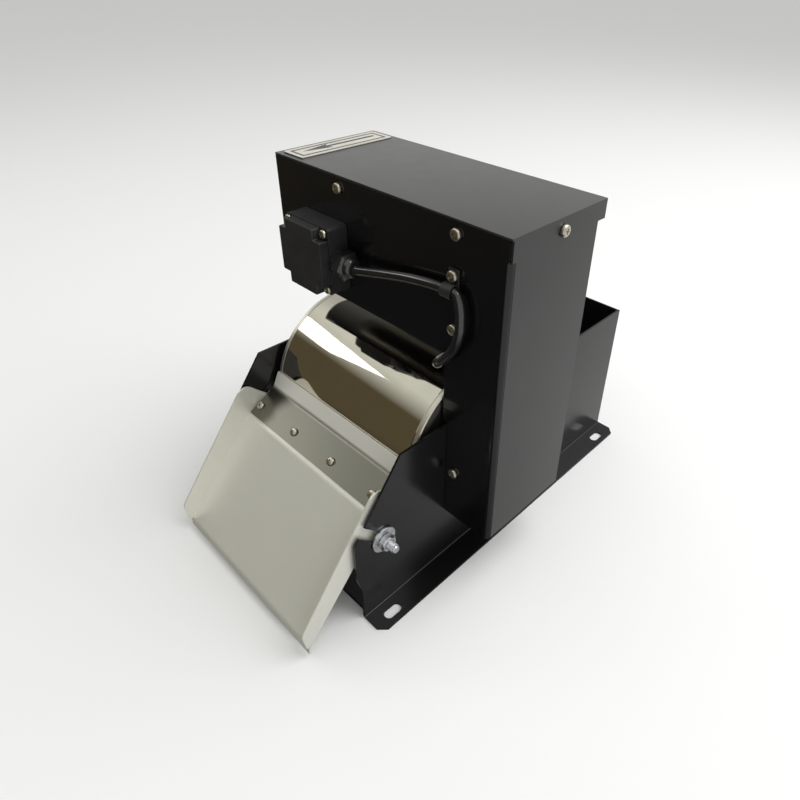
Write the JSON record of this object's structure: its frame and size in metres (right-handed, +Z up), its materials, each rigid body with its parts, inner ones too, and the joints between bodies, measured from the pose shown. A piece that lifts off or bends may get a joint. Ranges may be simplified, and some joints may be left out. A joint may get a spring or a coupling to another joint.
{
  "type": "magnetic drum coolant separator",
  "caption": "Magnetic drum separator: a geared motor and chain turn a drum over a coolant trough, and a blade and chute take the chips off.",
  "frame": {"origin": "centre of the overall outline, on the plane the feet stand on", "axes": "+X along the drum's axis towards the chain case, +Y from the chute towards the inlet box, +Z up"},
  "size_m": [0.2798, 0.433, 0.341],
  "materials": {
    "black_coated_steel": "semi-gloss powder coat",
    "stainless_sheet": "brushed",
    "turned_steel": "turned",
    "polished_stainless": "polished",
    "cast_iron": "painted casting",
    "gearbox_aluminium": "machined casting",
    "bearing_bronze": "turned",
    "magnet": "ground ferrite",
    "chain_steel": "oiled",
    "motor_paint": "satin black",
    "nameplate_aluminium": "satin",
    "black_plastic": "moulded",
    "cable_jacket": "smooth",
    "zinc_plate": "zinc plated"
  },
  "bodies": {
    "tank_and_cover": {"side_plate_right": "black_coated_steel", "side_plate_left": "black_coated_steel", "front_wall": "black_coated_steel", "rear_wall": "black_coated_steel", "bottom_plate": "black_coated_steel", "inlet_weir": "black_coated_steel", "drive_bracket": "black_coated_steel", "hood": "black_coated_steel", "front_plate": "black_coated_steel", "back_plate": "black_coated_steel", "drum_trough": "stainless_sheet", "fixed_shaft": "turned_steel", "shaft_clamp": "cast_iron", "bearing_housing": "cast_iron", "magnet_yoke": "cast_iron", "gearbox": "gearbox_aluminium", "magnet_sector": "magnet", "drive_chain": "chain_steel", "motor_stator": "motor_paint", "motor_end_cap": "motor_paint", "nameplate": "nameplate_aluminium", "terminal_box": "black_plastic", "terminal_lid": "black_plastic", "gland_body": "black_plastic", "gland_nut": "black_plastic", "cable_clip": "black_plastic", "motor_cable": "cable_jacket", "clip_screw": "zinc_plate", "terminal_screw_1": "zinc_plate", "terminal_screw_2": "zinc_plate", "terminal_screw_3": "zinc_plate", "terminal_screw_4": "zinc_plate", "cover_screw_1": "zinc_plate", "cover_screw_2": "zinc_plate", "cover_screw_3": "zinc_plate", "cover_screw_4": "zinc_plate", "cover_screw_5": "zinc_plate", "cover_screw_6": "zinc_plate", "cover_screw_7": "zinc_plate", "cover_screw_8": "zinc_plate"},
    "drum": {"drum_shell": "polished_stainless", "drum_end_right": "turned_steel", "drum_end_left": "turned_steel", "drum_bush": "bearing_bronze", "drum_hub": "turned_steel", "drum_sprocket": "chain_steel"},
    "motor_output": {"motor_sprocket": "chain_steel", "output_shaft": "turned_steel"},
    "chute": {"chute_pan": "stainless_sheet", "scraper_blade": "stainless_sheet", "pivot_stud_right": "zinc_plate", "pivot_stud_left": "zinc_plate", "pivot_washer_right": "zinc_plate", "pivot_washer_left": "zinc_plate", "pivot_nut_right": "zinc_plate", "pivot_nut_left": "zinc_plate", "blade_screw_1": "zinc_plate", "blade_screw_2": "zinc_plate", "blade_screw_3": "zinc_plate", "blade_screw_4": "zinc_plate"}
  },
  "joints": [
    {"name": "drum_spin", "type": "hinge", "parent": "tank_and_cover", "child": "drum", "pos_m": [0, -0.01584, 0.115], "axis": [1, 0, 0], "continuous": true, "deforming": ["drive_chain"]},
    {"name": "motor_spin", "type": "hinge", "parent": "tank_and_cover", "child": "motor_output", "pos_m": [0, -0.00154, 0.2781], "axis": [1, 0, 0], "continuous": true},
    {"name": "chute_tilt", "type": "hinge", "parent": "tank_and_cover", "child": "chute", "pos_m": [0, -0.13354, 0.0825], "axis": [1, 0, 0], "range_deg": [0, 3]}
  ],
  "couplings": [
    {"joint": "motor_spin", "follows": "drum_spin", "ratio": 1.6923}
  ]
}
